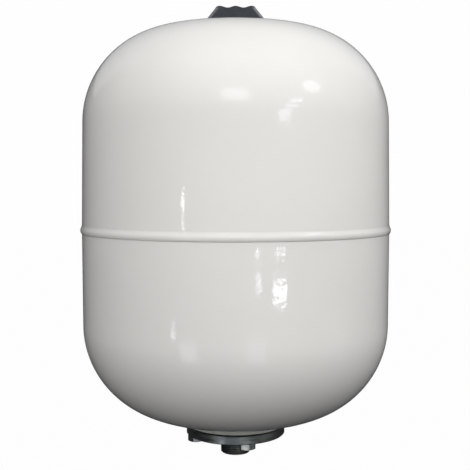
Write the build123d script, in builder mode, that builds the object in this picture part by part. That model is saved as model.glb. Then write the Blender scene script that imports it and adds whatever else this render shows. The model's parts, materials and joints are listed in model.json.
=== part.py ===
"""Expansion vessel for a hot water system: 18 litres, upright, with its 3/4 inch connection below.

Frame: +Z up. The origin is the centre of the water connection's lower end face, on the vessel's axis.
All sizes are in millimetres. Outlines are (radius, height) pairs turned about the vertical axis.
"""

import os
from math import asin, atan2, cos, pi, sin, sqrt

from build123d import *

os.makedirs("parts", exist_ok=True)

# Steel shell, two deep-drawn halves
vessel_radius = 135.0
wall = 1.5
mid_height = 206.0
shoulder_rise = 87.75
knuckle_radius = 83.0
crown_radius = 350.0
upper_taper = 1.25
lower_taper = 0.35

# Lap joint and its weld
upper_edge_height = 202.2
joggle_shoulder = 199.6
joggle_rise = 2.6
joggle_bend = 2.5
lap_length = 12.0
lap_gap = 0.2
bead_bottom = 197.9
bead_crest_height = 201.3
bead_top = 206.6
bead_proud = 1.45
bead_toe_slope = 0.35

# Lower neck, counter-flange and bolts
neck_radius = 44.5
neck_bore = 26.0
neck_spigot_radius = 41.0
neck_face = 27.0
neck_depth = 10.4
neck_weld_leg = 2.0
tapped_hole_gap = 0.05
flange_radius = 44.0
flange_thickness = 8.0
flange_bottom = 18.0
flange_edge = 0.8
flange_recess_radius = 31.6
flange_recess_depth = 3.2
bolt_circle_radius = 36.5
bolt_count = 4
first_bolt_angle = -74.0
bolt_radius = 4.0
bolt_hole_radius = 4.5
bolt_length = 16.0
bolt_point = 0.8
head_across_flats = 13.0
head_height = 5.3
head_chamfer = 0.6
head_turn = -3.0

# Water connection, G 3/4 male, and the plastic liner inside it
connection_radius = 13.22
connection_neck_radius = 12.6
connection_thread_top = 14.6
connection_bore = 9.6
thread_chamfer = 1.0
connection_weld_leg = 3.0
liner_wall = 1.3
liner_disc = 1.5
liner_radius = 31.2
liner_bottom = 3.0
liner_gap = 0.1

# Rubber bladder
bladder_wall = 2.2
bladder_neck_radius = 25.4
bladder_neck_rise = 6.0
bladder_lip_radius = 31.0
bladder_belly_radius = 106.0
bladder_belly_bottom = 100.0
bladder_belly_top = 225.0
bladder_crown_radius = 60.0
bladder_top = 296.0
bladder_neck_bend = 12.0
bladder_bottom_bend = 60.0
bladder_shoulder_bend = 70.0
bladder_top_bend = 60.0

# Recess for the gas valve in the top of the vessel
recess_depth = 13.0
recess_mouth_radius = 23.0
recess_lip = 3.0
recess_lip_bend = 1.6
recess_floor_radius = 15.5
recess_bend = 3.2

# Gas valve: boss, stem and the seal between them
boss_radius = 9.0
boss_rise = 4.8
boss_depth = 6.0
boss_bore = 5.05
boss_weld_leg = 1.6
stem_shank_radius = 5.0
stem_hex_across_flats = 14.0
stem_hex_height = 2.8
stem_hex_chamfer = 0.4
stem_neck_radius = 3.4
stem_neck_height = 0.6
stem_thread_radius = 3.85
stem_thread_chamfer = 0.4
stem_length_above_hex = 9.4
stem_passage = 1.65
stem_seal_groove = 1.7
stem_seal_radius = 7.2

# Valve core
core_inset = 0.4
core_length = 11.0
core_head_height = 3.2
core_neck_length = 1.5
core_cone_height = 2.2
core_thread_radius = 2.6
core_barrel_radius = 1.5
core_seat_radius = 2.2
core_gap = 0.05
core_key_depth = 1.6
core_key_width = 2.8
gasket_inset = 0.5
core_seal_radius = 1.35
core_seal_thickness = 0.9
seat_gap = 0.02
pin_radius = 0.4
pin_foot_thickness = 0.5
pin_collar_radius = 0.93
pin_collar_height = 0.5
pin_tip_inset = 0.2
spring_pocket_radius = 1.0
spring_pocket_floor = 1.8
spring_length = 6.0
spring_wire_radius = 0.13
spring_radius = 0.74
spring_turns = 7

# Dust cap on the valve
dust_cap_radius = 5.3
dust_cap_gap = 0.8
dust_cap_roof = 1.0
dust_cap_edge = 0.6
dust_cap_flutes = 20
dust_cap_flute_radius = 0.45
dust_cap_flute_height = 7.5
dust_cap_seal_radius = 3.6
dust_cap_seal_thickness = 0.6
cap_seal_gap = 0.03
thread_gap = 0.08

# Square valve cover with a wavy rim
cover_base_half = 26.8
cover_rim_half = 16.3
cover_rise = 12.6
cover_skirt = 2.4
cover_wall = 1.8
cover_rim_wall = 1.7
cover_corner = 5.0
cover_rim_corner = 3.2
cover_dip_depth = 1.7
cover_dip_offset = 6.8
cover_crest_trim = 0.12
cover_top_drop = 2.4
cover_plate = 1.6
cover_gap = 0.15
cover_sleeve_wall = 1.4
cover_sleeve_gap = 0.06
cover_sleeve_clearance = 0.6
cover_gusset_depth = 5.0
cover_rib = 1.2

# Heights that follow from the sizes above
knuckle_offset = vessel_radius - upper_taper - knuckle_radius
crown_drop = sqrt((crown_radius - knuckle_radius) ** 2 - knuckle_offset**2)
upper_crown_centre = mid_height + shoulder_rise - crown_drop
pole = upper_crown_centre + crown_radius
lower_knuckle_offset = vessel_radius - lower_taper - knuckle_radius
lower_crown_drop = sqrt((crown_radius - knuckle_radius) ** 2 - lower_knuckle_offset**2)
lower_crown_centre = mid_height - shoulder_rise + lower_crown_drop
flange_top = flange_bottom + flange_thickness
recess_floor = pole - recess_depth
boss_top = recess_floor + boss_rise
boss_bottom = recess_floor - boss_depth
hex_top = boss_top + stem_hex_height
stem_top = hex_top + stem_length_above_hex
spring_seat = stem_top - core_inset - core_length + spring_pocket_floor


def outline(*points):
    """A closed face in the XZ plane, from its corners as (radius, height)."""
    with BuildSketch(Plane.XZ) as section:
        with BuildLine():
            Polyline(*points, close=True)
        make_face()
    return section.sketch


def ring(inner, outer, bottom, top):
    """The section of a plain ring."""
    return outline((inner, bottom), (outer, bottom), (outer, top), (inner, top))


def dome_point(radius, centre, side):
    """The point of a crown's outside at a radius; side is 1 for the upper crown, -1 for the lower."""
    return (radius, centre + side * sqrt(crown_radius**2 - radius**2))


def half_shell_line(taper, centre, side, rim):
    """The outside of a half shell as arcs: knuckle, then crown, from the rim to the given radius."""
    knuckle_x = vessel_radius - taper - knuckle_radius
    knuckle_z = mid_height + side * shoulder_rise
    lean = atan2(taper, shoulder_rise)
    meet = asin(knuckle_x / (crown_radius - knuckle_radius))
    halfway = (lean + pi / 2 - meet) / 2
    start = (knuckle_x + knuckle_radius * cos(lean), knuckle_z + side * knuckle_radius * sin(lean))
    middle = (knuckle_x + knuckle_radius * cos(halfway), knuckle_z + side * knuckle_radius * sin(halfway))
    end = dome_point(crown_radius * sin(meet), centre, side)
    inner = dome_point(rim, centre, side)
    between = dome_point((end[0] + rim) / 2, centre, side)
    return start, middle, end, between, inner


# ---------------------------------------------------------------- pressed shells

shoulder, knuckle, meeting, crown, mouth = half_shell_line(
    upper_taper, upper_crown_centre, 1, recess_mouth_radius
)
with BuildPart() as upper_shell:
    with BuildSketch(Plane.XZ):
        with BuildLine():
            Line((vessel_radius, upper_edge_height), shoulder)
            ThreePointArc(shoulder, knuckle, meeting)
            ThreePointArc(meeting, crown, mouth)
            FilletPolyline(
                mouth,
                dome_point(recess_mouth_radius - recess_lip, upper_crown_centre, 1),
                (recess_floor_radius, recess_floor),
                (boss_radius, recess_floor),
                radius=(recess_lip_bend, recess_bend),
            )
            offset(amount=wall, side=Side.LEFT)
        make_face()
    revolve(axis=Axis.Z)
upper_shell.part.label = "upper_shell"
export_step(upper_shell.part, "parts/upper_shell.step")

lap_radius = vessel_radius - wall - lap_gap
shoulder, knuckle, meeting, crown, mouth = half_shell_line(
    lower_taper, lower_crown_centre, -1, neck_spigot_radius
)
with BuildPart() as lower_shell:
    with BuildSketch(Plane.XZ):
        with BuildLine():
            FilletPolyline(
                (lap_radius, joggle_shoulder + lap_length),
                (lap_radius, joggle_shoulder + joggle_rise),
                (vessel_radius, joggle_shoulder),
                shoulder,
                radius=(joggle_bend, joggle_bend),
            )
            ThreePointArc(shoulder, knuckle, meeting)
            ThreePointArc(meeting, crown, mouth)
            offset(amount=wall, side=Side.RIGHT)
        make_face()
    revolve(axis=Axis.Z)
    revolve(
        ring(0, neck_spigot_radius, neck_face, neck_face + neck_depth),
        axis=Axis.Z,
        mode=Mode.SUBTRACT,
    )
lower_shell.part.label = "lower_shell"
export_step(lower_shell.part, "parts/lower_shell.step")

with BuildPart() as seam_weld:
    with BuildSketch(Plane.XZ):
        with BuildLine():
            crest = (vessel_radius + bead_proud, bead_crest_height)
            Spline((vessel_radius, bead_bottom), crest, tangents=((1, bead_toe_slope), (0, 1)))
            Spline(crest, (vessel_radius, bead_top), tangents=((0, 1), (0, 1)))
            Polyline(
                (vessel_radius, bead_top),
                (vessel_radius, upper_edge_height),
                (lap_radius, upper_edge_height),
                (lap_radius, joggle_shoulder),
                (vessel_radius - wall / 2, bead_bottom),
                (vessel_radius, bead_bottom),
            )
        make_face()
    revolve(axis=Axis.Z)
    add(lower_shell.part, mode=Mode.SUBTRACT)
    add(upper_shell.part, mode=Mode.SUBTRACT)
seam_weld.part.label = "seam_weld"
export_step(seam_weld.part, "parts/seam_weld.step")

# ---------------------------------------------------------------- neck, bladder and counter-flange

with BuildPart() as neck_ring:
    with BuildSketch(Plane.XZ):
        with BuildLine():
            rim = dome_point(neck_radius, lower_crown_centre, -1)
            step = dome_point(neck_spigot_radius, lower_crown_centre, -1)
            under = dome_point((neck_radius + neck_spigot_radius) / 2, lower_crown_centre, -1)
            ThreePointArc(rim, under, step)
            Polyline(
                step,
                (neck_spigot_radius, neck_face + neck_depth),
                (neck_bore, neck_face + neck_depth),
                (neck_bore, neck_face),
                (neck_radius, neck_face),
                rim,
            )
        make_face()
    revolve(axis=Axis.Z)
    with BuildSketch(Plane.XY.offset(neck_face)):
        with PolarLocations(bolt_circle_radius, bolt_count, start_angle=first_bolt_angle):
            Circle(bolt_radius + tapped_hole_gap)
    extrude(amount=neck_depth, mode=Mode.SUBTRACT)
neck_ring.part.label = "neck_ring"
export_step(neck_ring.part, "parts/neck_ring.step")

with BuildPart() as neck_ring_weld:
    with BuildSketch(Plane.XZ):
        with BuildLine():
            top = dome_point(neck_radius + neck_weld_leg, lower_crown_centre, -1)
            above = dome_point(neck_radius + neck_weld_leg / 2, lower_crown_centre, -1)
            corner = dome_point(neck_radius, lower_crown_centre, -1)
            ThreePointArc(top, above, corner)
            Polyline(corner, (neck_radius, corner[1] - neck_weld_leg), top)
        make_face()
    revolve(axis=Axis.Z)
neck_ring_weld.part.label = "neck_ring_weld"
export_step(neck_ring_weld.part, "parts/neck_ring_weld.step")

liner_floor = flange_top - flange_recess_depth
lip_bottom = liner_floor + liner_disc
neck_top = neck_face + neck_depth
with BuildPart() as bladder:
    with BuildSketch(Plane.XZ):
        with BuildLine():
            FilletPolyline(
                (bladder_lip_radius, neck_face),
                (bladder_neck_radius, neck_face),
                (bladder_neck_radius, neck_top + bladder_neck_rise),
                (bladder_belly_radius, bladder_belly_bottom),
                (bladder_belly_radius, bladder_belly_top),
                (bladder_crown_radius, bladder_top),
                (0, bladder_top),
                radius=(
                    0,
                    bladder_neck_bend,
                    bladder_bottom_bend,
                    bladder_shoulder_bend,
                    bladder_top_bend,
                ),
            )
            offset(amount=bladder_wall, side=Side.LEFT)
        make_face()
    revolve(axis=Axis.Z)
    revolve(
        ring(bladder_neck_radius - bladder_wall, bladder_lip_radius, lip_bottom, neck_face),
        axis=Axis.Z,
    )
bladder.part.label = "bladder"
export_step(bladder.part, "parts/bladder.step")

with BuildPart() as counter_flange:
    revolve(
        outline(
            (connection_neck_radius, flange_bottom),
            (flange_radius - flange_edge, flange_bottom),
            (flange_radius, flange_bottom + flange_edge),
            (flange_radius, flange_top - flange_edge),
            (flange_radius - flange_edge, flange_top),
            (flange_recess_radius, flange_top),
            (flange_recess_radius, liner_floor),
            (connection_neck_radius, liner_floor),
        ),
        axis=Axis.Z,
    )
    with BuildSketch(Plane.XY.offset(flange_bottom)):
        with PolarLocations(bolt_circle_radius, bolt_count, start_angle=first_bolt_angle):
            Circle(bolt_hole_radius)
    extrude(amount=flange_thickness, mode=Mode.SUBTRACT)
counter_flange.part.label = "counter_flange"
export_step(counter_flange.part, "parts/counter_flange.step")

liner_tube = connection_bore - liner_gap
with BuildPart() as flange_liner:
    revolve(
        outline(
            (liner_tube - liner_wall, liner_bottom),
            (liner_tube, liner_bottom),
            (liner_tube, liner_floor),
            (liner_radius, liner_floor),
            (liner_radius, lip_bottom),
            (liner_tube - liner_wall, lip_bottom),
        ),
        axis=Axis.Z,
    )
flange_liner.part.label = "flange_liner"
export_step(flange_liner.part, "parts/flange_liner.step")

with BuildPart() as water_connection:
    revolve(
        outline(
            (connection_bore + thread_chamfer / 2, 0),
            (connection_radius - thread_chamfer, 0),
            (connection_radius, thread_chamfer),
            (connection_radius, connection_thread_top),
            (connection_neck_radius, connection_thread_top),
            (connection_neck_radius, liner_floor),
            (connection_bore, liner_floor),
            (connection_bore, thread_chamfer / 2),
        ),
        axis=Axis.Z,
    )
water_connection.part.label = "water_connection"
export_step(water_connection.part, "parts/water_connection.step")

with BuildPart() as connection_weld:
    revolve(
        outline(
            (connection_neck_radius, flange_bottom),
            (connection_neck_radius, flange_bottom - connection_weld_leg),
            (connection_neck_radius + connection_weld_leg, flange_bottom),
        ),
        axis=Axis.Z,
    )
connection_weld.part.label = "connection_weld"
export_step(connection_weld.part, "parts/connection_weld.step")

with BuildPart() as flange_bolt:
    with BuildSketch(Plane.XY.offset(flange_bottom - head_height)):
        RegularPolygon(head_across_flats / 2, 6, major_radius=False, rotation=head_turn)
    extrude(amount=head_height)
    head_corner = head_across_flats / sqrt(3)
    revolve(
        outline(
            (0, flange_bottom - head_height),
            (head_across_flats / 2 - head_chamfer, flange_bottom - head_height),
            (head_corner, flange_bottom - head_height + head_chamfer),
            (head_corner, flange_bottom),
            (0, flange_bottom),
        ),
        axis=Axis.Z,
        mode=Mode.INTERSECT,
    )
    revolve(
        outline(
            (0, flange_bottom),
            (bolt_radius, flange_bottom),
            (bolt_radius, flange_bottom + bolt_length - bolt_point),
            (bolt_radius - bolt_point, flange_bottom + bolt_length),
            (0, flange_bottom + bolt_length),
        ),
        axis=Axis.Z,
    )

with BuildPart() as flange_bolts:
    with PolarLocations(bolt_circle_radius, bolt_count, start_angle=first_bolt_angle):
        add(flange_bolt.part)
flange_bolts.part.label = "flange_bolts"
export_step(flange_bolts.part, "parts/flange_bolts.step")

# ---------------------------------------------------------------- gas valve

with BuildPart() as valve_boss:
    revolve(
        outline(
            (boss_bore, boss_bottom),
            (boss_radius, boss_bottom),
            (boss_radius, boss_top),
            (stem_seal_radius, boss_top),
            (stem_seal_radius, boss_top - stem_seal_groove),
            (boss_bore, boss_top - stem_seal_groove),
        ),
        axis=Axis.Z,
    )
valve_boss.part.label = "valve_boss"
export_step(valve_boss.part, "parts/valve_boss.step")

with BuildPart() as valve_boss_weld:
    revolve(
        outline(
            (boss_radius, recess_floor),
            (boss_radius + boss_weld_leg, recess_floor),
            (boss_radius, recess_floor + boss_weld_leg),
        ),
        axis=Axis.Z,
    )
valve_boss_weld.part.label = "valve_boss_weld"
export_step(valve_boss_weld.part, "parts/valve_boss_weld.step")

seal_middle = (stem_shank_radius + stem_seal_radius) / 2
with BuildPart() as valve_stem_seal:
    with BuildSketch(Plane.XZ):
        with Locations((seal_middle, boss_top - stem_seal_groove / 2)):
            Circle(stem_seal_groove / 2)
    revolve(axis=Axis.Z)
valve_stem_seal.part.label = "valve_stem_seal"
export_step(valve_stem_seal.part, "parts/valve_stem_seal.step")

# The core stands in the stem: its cone seats on the stem's own cone.
core_top = stem_top - core_inset
core_head_bottom = core_top - core_head_height
cone_top = core_head_bottom - core_neck_length
cone_bottom = cone_top - core_cone_height
barrel_bottom = core_top - core_length
with BuildPart() as valve_stem:
    with BuildSketch(Plane.XY.offset(boss_top)):
        RegularPolygon(stem_hex_across_flats / 2, 6, major_radius=False)
    extrude(amount=stem_hex_height)
    chamfer(edges().group_by(Axis.Z)[-1], length=stem_hex_chamfer)
    revolve(
        outline(
            (0, boss_bottom),
            (stem_shank_radius, boss_bottom),
            (stem_shank_radius, boss_top),
            (0, boss_top),
        ),
        axis=Axis.Z,
    )
    revolve(
        outline(
            (0, hex_top),
            (stem_neck_radius, hex_top),
            (stem_neck_radius, hex_top + stem_neck_height),
            (stem_thread_radius, hex_top + stem_neck_height + stem_thread_chamfer),
            (stem_thread_radius, stem_top - stem_thread_chamfer),
            (stem_thread_radius - stem_thread_chamfer, stem_top),
            (0, stem_top),
        ),
        axis=Axis.Z,
    )
    revolve(
        outline(
            (0, boss_bottom),
            (stem_passage, boss_bottom),
            (stem_passage, cone_bottom),
            (core_seat_radius, cone_top),
            (core_thread_radius + core_gap, core_head_bottom - core_gap),
            (core_thread_radius + core_gap, stem_top),
            (0, stem_top),
        ),
        axis=Axis.Z,
        mode=Mode.SUBTRACT,
    )
valve_stem.part.label = "valve_stem"
export_step(valve_stem.part, "parts/valve_stem.step")

with BuildPart() as valve_core_body:
    revolve(
        outline(
            (pin_radius + core_gap, barrel_bottom),
            (core_barrel_radius, barrel_bottom),
            (core_barrel_radius, core_head_bottom),
            (core_thread_radius, core_head_bottom),
            (core_thread_radius, core_top),
            (spring_pocket_radius, core_top),
            (spring_pocket_radius, spring_seat),
            (pin_radius + core_gap, spring_seat),
        ),
        axis=Axis.Z,
    )
    # Two flats on the head leave a bridge for the core key
    with BuildSketch(Plane.XY.offset(core_top - core_key_depth)):
        with GridLocations(0, 2 * core_thread_radius + core_key_width, 1, 2):
            Rectangle(3 * core_thread_radius, 2 * core_thread_radius)
    extrude(amount=core_key_depth, mode=Mode.SUBTRACT)
valve_core_body.part.label = "valve_core_body"
export_step(valve_core_body.part, "parts/valve_core_body.step")

with BuildPart() as valve_core_gasket:
    revolve(
        ring(core_barrel_radius, core_seat_radius, cone_bottom + gasket_inset, cone_top),
        axis=Axis.Z,
    )
    add(valve_stem.part, mode=Mode.SUBTRACT)
valve_core_gasket.part.label = "valve_core_gasket"
export_step(valve_core_gasket.part, "parts/valve_core_gasket.step")

# The pin carries a collar for the spring and a foot that pulls the rubber seal up to the barrel.
seal_top = barrel_bottom - seat_gap
foot_top = seal_top - core_seal_thickness
foot_bottom = foot_top - pin_foot_thickness
collar_bottom = spring_seat + spring_length
with BuildPart() as valve_core_pin:
    revolve(
        outline(
            (0, foot_bottom),
            (core_seal_radius, foot_bottom),
            (core_seal_radius, foot_top),
            (pin_radius, foot_top),
            (pin_radius, collar_bottom),
            (pin_collar_radius, collar_bottom),
            (pin_collar_radius, collar_bottom + pin_collar_height),
            (pin_radius, collar_bottom + pin_collar_height),
            (pin_radius, core_top - pin_tip_inset),
            (0, core_top - pin_tip_inset),
        ),
        axis=Axis.Z,
    )
valve_core_pin.part.label = "valve_core_pin"
export_step(valve_core_pin.part, "parts/valve_core_pin.step")

with BuildPart() as valve_core_seal:
    revolve(ring(pin_radius, core_seal_radius, foot_top, seal_top), axis=Axis.Z)
valve_core_seal.part.label = "valve_core_seal"
export_step(valve_core_seal.part, "parts/valve_core_seal.step")

with BuildPart() as valve_core_spring:
    with BuildLine():
        coil_height = spring_length - 2 * (spring_wire_radius + seat_gap)
        coil_start = spring_seat + spring_wire_radius + seat_gap
        coil = Helix(
            pitch=coil_height / spring_turns,
            height=coil_height,
            radius=spring_radius,
            center=(0, 0, coil_start),
        )
    with BuildSketch(Plane(origin=coil @ 0, z_dir=coil % 0)):
        Circle(spring_wire_radius)
    sweep(is_frenet=True)
valve_core_spring.part.label = "valve_core_spring"
export_step(valve_core_spring.part, "parts/valve_core_spring.step")

# ---------------------------------------------------------------- dust cap and valve cover

dust_cap_bottom = hex_top + dust_cap_gap
cap_seal_bottom = stem_top + cap_seal_gap
cap_ceiling = cap_seal_bottom + dust_cap_seal_thickness + cap_seal_gap
dust_cap_top = cap_ceiling + dust_cap_roof
with BuildPart() as dust_cap:
    with BuildSketch(Plane.XY.offset(dust_cap_bottom)):
        Circle(dust_cap_radius)
    extrude(amount=dust_cap_top - dust_cap_bottom)
    fillet(edges().group_by(Axis.Z)[-1], radius=dust_cap_edge)
    with BuildSketch(Plane.XY.offset(dust_cap_bottom)):
        with PolarLocations(dust_cap_radius, dust_cap_flutes):
            Circle(dust_cap_flute_radius)
    extrude(amount=dust_cap_flute_height, mode=Mode.SUBTRACT)
    with BuildSketch(Plane.XY.offset(dust_cap_bottom)):
        Circle(stem_thread_radius + thread_gap)
    extrude(amount=cap_ceiling - dust_cap_bottom, mode=Mode.SUBTRACT)
dust_cap.part.label = "dust_cap"
export_step(dust_cap.part, "parts/dust_cap.step")

with BuildPart() as dust_cap_seal:
    with BuildSketch(Plane.XY.offset(cap_seal_bottom)):
        Circle(dust_cap_seal_radius)
    extrude(amount=dust_cap_seal_thickness)
dust_cap_seal.part.label = "dust_cap_seal"
export_step(dust_cap_seal.part, "parts/dust_cap_seal.step")

rim_top = pole + cover_rise
plate_top = rim_top - cover_top_drop
plate_bottom = plate_top - cover_plate
cover_bottom = pole - cover_skirt
flare = (cover_base_half - cover_rim_half) / (rim_top - cover_bottom)
wave_crest = rim_top + cover_crest_trim
wave_dip = rim_top - cover_dip_depth
wave_points = [
    (-2 * cover_dip_offset, wave_crest),
    (-cover_dip_offset, wave_dip),
    (0, wave_crest),
    (cover_dip_offset, wave_dip),
    (2 * cover_dip_offset, wave_crest),
]
with BuildPart() as valve_cover:
    with BuildSketch(Plane.XY.offset(cover_bottom)):
        RectangleRounded(2 * cover_base_half, 2 * cover_base_half, cover_corner)
    with BuildSketch(Plane.XY.offset(rim_top)):
        RectangleRounded(2 * cover_rim_half, 2 * cover_rim_half, cover_rim_corner)
    loft()
    # Hollow underneath
    inner_base = cover_base_half - cover_wall
    inner_roof = cover_rim_half - cover_wall + flare * (rim_top - plate_bottom)
    with BuildSketch(Plane.XY.offset(cover_bottom)):
        RectangleRounded(2 * inner_base, 2 * inner_base, cover_corner - cover_wall)
    with BuildSketch(Plane.XY.offset(plate_bottom)):
        RectangleRounded(2 * inner_roof, 2 * inner_roof, cover_rim_corner - cover_wall / 2)
    loft(mode=Mode.SUBTRACT)
    # Sunken top plate
    with BuildSketch(Plane.XY.offset(plate_top)):
        RectangleRounded(
            2 * (cover_rim_half - cover_rim_wall),
            2 * (cover_rim_half - cover_rim_wall),
            cover_rim_corner - cover_rim_wall,
        )
    extrude(amount=cover_top_drop, mode=Mode.SUBTRACT)
    # Wavy rim, two dips on every side
    for side in (Plane.XZ, Plane.YZ):
        with BuildSketch(side):
            with BuildLine():
                Spline(*wave_points, tangents=((1, 0), (1, 0)))
                Polyline(
                    wave_points[-1],
                    (wave_points[-1][0], wave_crest + cover_dip_depth),
                    (wave_points[0][0], wave_crest + cover_dip_depth),
                    wave_points[0],
                )
            make_face()
        extrude(amount=2 * cover_rim_half, both=True, mode=Mode.SUBTRACT)
    # The skirt follows the crown of the vessel
    with Locations((0, 0, upper_crown_centre)):
        Sphere(crown_radius + cover_gap, mode=Mode.SUBTRACT)
    # Sleeve that grips the valve boss, with four gussets
    sleeve_inner = boss_radius + cover_sleeve_gap
    sleeve_outer = sleeve_inner + cover_sleeve_wall
    sleeve_bottom = recess_floor + boss_weld_leg + cover_sleeve_clearance
    with BuildSketch(Plane.XY.offset(sleeve_bottom)):
        Circle(sleeve_outer)
        Circle(sleeve_inner, mode=Mode.SUBTRACT)
    extrude(amount=plate_bottom - sleeve_bottom)
    gusset_reach = inner_roof - sleeve_inner
    with BuildSketch(Plane.XY.offset(plate_bottom - cover_gusset_depth)):
        with PolarLocations(sleeve_inner + gusset_reach / 2 + cover_sleeve_wall / 2, 4):
            Rectangle(gusset_reach, cover_rib)
    extrude(amount=cover_gusset_depth)
valve_cover.part.label = "valve_cover"
export_step(valve_cover.part, "parts/valve_cover.step")
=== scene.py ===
"""Looks for the expansion vessel: painted shells, plated fittings, moulded plastics and studio light.

Everything is in metres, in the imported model's frame: +Z up, origin at the water connection's lower end.
"""

import json
import math

import bmesh
import bpy
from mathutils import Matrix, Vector


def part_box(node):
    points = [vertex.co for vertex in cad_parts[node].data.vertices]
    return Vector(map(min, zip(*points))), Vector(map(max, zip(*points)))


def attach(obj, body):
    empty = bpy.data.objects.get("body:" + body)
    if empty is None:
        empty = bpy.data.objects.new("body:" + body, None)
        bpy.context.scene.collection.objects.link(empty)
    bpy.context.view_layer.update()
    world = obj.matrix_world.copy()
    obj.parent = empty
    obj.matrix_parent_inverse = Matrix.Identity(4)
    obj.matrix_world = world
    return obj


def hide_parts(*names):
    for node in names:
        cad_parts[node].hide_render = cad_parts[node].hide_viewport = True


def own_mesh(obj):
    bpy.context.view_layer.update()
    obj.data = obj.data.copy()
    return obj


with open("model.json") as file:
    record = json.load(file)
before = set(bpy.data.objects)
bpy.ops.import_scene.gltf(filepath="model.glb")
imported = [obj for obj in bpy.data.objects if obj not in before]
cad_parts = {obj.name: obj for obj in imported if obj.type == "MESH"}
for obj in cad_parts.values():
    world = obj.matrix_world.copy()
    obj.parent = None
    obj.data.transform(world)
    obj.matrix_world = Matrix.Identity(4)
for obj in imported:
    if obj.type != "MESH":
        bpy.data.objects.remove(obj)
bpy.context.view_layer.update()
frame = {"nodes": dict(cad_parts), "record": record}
nodes = frame["nodes"]
body_nodes = frame["record"]["behaviour"]["bodies"]
node_body = {node: body for body, members in body_nodes.items() for node in members}
node_slot = {row["node"]: row["material_slot"] for row in frame["record"]["subparts"]}

MM = 0.001
AROUND = 360  # segments around the shells
WELD_AROUND = 1440  # segments around the long weld bead
FITTING_AROUND = 192  # segments around fittings and threads
BOLT_AROUND = 144  # segments around each bolt
COVER_AROUND = 480  # points around each ring of the valve cover

# ---------------------------- sizes, as in the CAD model

vessel_radius = 135 * MM
wall = 1.5 * MM
mid_height = 206 * MM
shoulder_rise = 87.75 * MM
knuckle_radius = 83 * MM
crown_radius = 350 * MM
upper_taper = 1.25 * MM
lower_taper = 0.35 * MM

upper_edge_height = 202.2 * MM
joggle_shoulder = 199.6 * MM
joggle_rise = 2.6 * MM
joggle_bend = 2.5 * MM
lap_length = 12 * MM
lap_radius = vessel_radius - wall - 0.2 * MM
bead_bottom = 197.9 * MM
bead_crest_height = 201.3 * MM
bead_top = 206.6 * MM
bead_proud = 1.45 * MM
bead_runout_end = 0.86  # where the soft upper side has died down, as a share of its height
bead_ripple = 0.022 * MM
bead_wobble = 0.06 * MM
bead_sink = 0.08 * MM
bead_ripples_around = 420

neck_radius = 44.5 * MM
neck_spigot_radius = 41 * MM
neck_weld_leg = 2 * MM
flange_bottom = 18 * MM
bolt_circle_radius = 36.5 * MM
bolt_count = 4
first_bolt_angle = math.radians(-74)
bolt_radius = 4 * MM
bolt_length = 16 * MM
bolt_pitch = 1.25 * MM
bolt_thread_depth = 0.7 * MM
bolt_thread_start = 0.6 * MM
bolt_thread_fade = 1.8 * MM
bolt_tip_chamfer = 0.8 * MM
head_across_flats = 13 * MM
head_height = 5.3 * MM
head_chamfer = 0.6 * MM
head_corner_loss = 0.14 * MM
head_foot = 0.15 * MM
head_dish_depth = 0.18 * MM
head_dish_floor = 3.6 * MM
head_dish_rim = 4.1 * MM
head_turn = math.radians(-3)

connection_radius = 13.22 * MM
connection_neck_radius = 12.6 * MM
connection_thread_top = 14.6 * MM
connection_neck_start = 14.8 * MM
connection_bore = 9.6 * MM
connection_weld_leg = 3 * MM
connection_pitch = 1.814 * MM
connection_thread_depth = 1.162 * MM
thread_chamfer = 1 * MM

recess_mouth_radius = 23 * MM
recess_lip = 3 * MM
recess_lip_bend = 1.6 * MM
recess_floor_radius = 15.5 * MM
recess_bend = 3.2 * MM
recess_depth = 13 * MM

boss_radius = 9 * MM
boss_rise = 4.8 * MM
boss_depth = 6 * MM
boss_weld_leg = 1.6 * MM
stem_shank_radius = 5 * MM
stem_hex_across_flats = 14 * MM
stem_hex_height = 2.8 * MM
stem_hex_chamfer = 0.4 * MM
stem_hex_corner_loss = 0.15 * MM
stem_foot_chamfer = 0.3 * MM
stem_neck_radius = 3.4 * MM
stem_neck_height = 0.6 * MM
stem_thread_radius = 3.85 * MM
stem_thread_chamfer = 0.4 * MM
stem_length_above_hex = 9.4 * MM
stem_passage = 1.65 * MM
stem_bore = 2.65 * MM
stem_bore_below_core_top = 3.25 * MM
stem_seat_radius = 2.2 * MM
stem_passage_above_core_foot = 4.1 * MM
valve_pitch = 0.794 * MM
valve_thread_depth = 0.42 * MM
spring_wire_radius = 0.13 * MM
spring_turns = 8
spring_closed_turns = 0.6

dust_cap_radius = 5.3 * MM
dust_cap_bore = 3.93 * MM
dust_cap_edge = 0.6 * MM
dust_cap_flutes = 20
dust_cap_flute_depth = 0.4 * MM
dust_cap_flute_height = 7.5 * MM
dust_cap_flute_fade = 0.8 * MM
dust_cap_foot_chamfer = 0.25 * MM
dust_cap_thread_depth = 0.2 * MM
dust_cap_roof = 1 * MM

bladder_wall = 2.2 * MM
bladder_radius = 106 * MM
bladder_lip_inner = 23.2 * MM
bladder_lip_outer = 31 * MM
bladder_lip_top = 27 * MM
bladder_neck_radius = 25.4 * MM
bladder_neck_top = 43.4 * MM
bladder_side_bottom = 100 * MM
bladder_side_top = 225 * MM
bladder_crown_radius = 60 * MM
bladder_top = 296 * MM
bladder_bends = (12 * MM, 60 * MM, 70 * MM, 60 * MM)  # from the neck up to the crown
bladder_fold_depth = 3.2 * MM
bladder_folds_start = (70 * MM, 130 * MM)
bladder_folds_end = (235 * MM, 285 * MM)
bladder_seam_proud = 0.5 * MM
bladder_seam_half = 0.9 * MM

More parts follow.
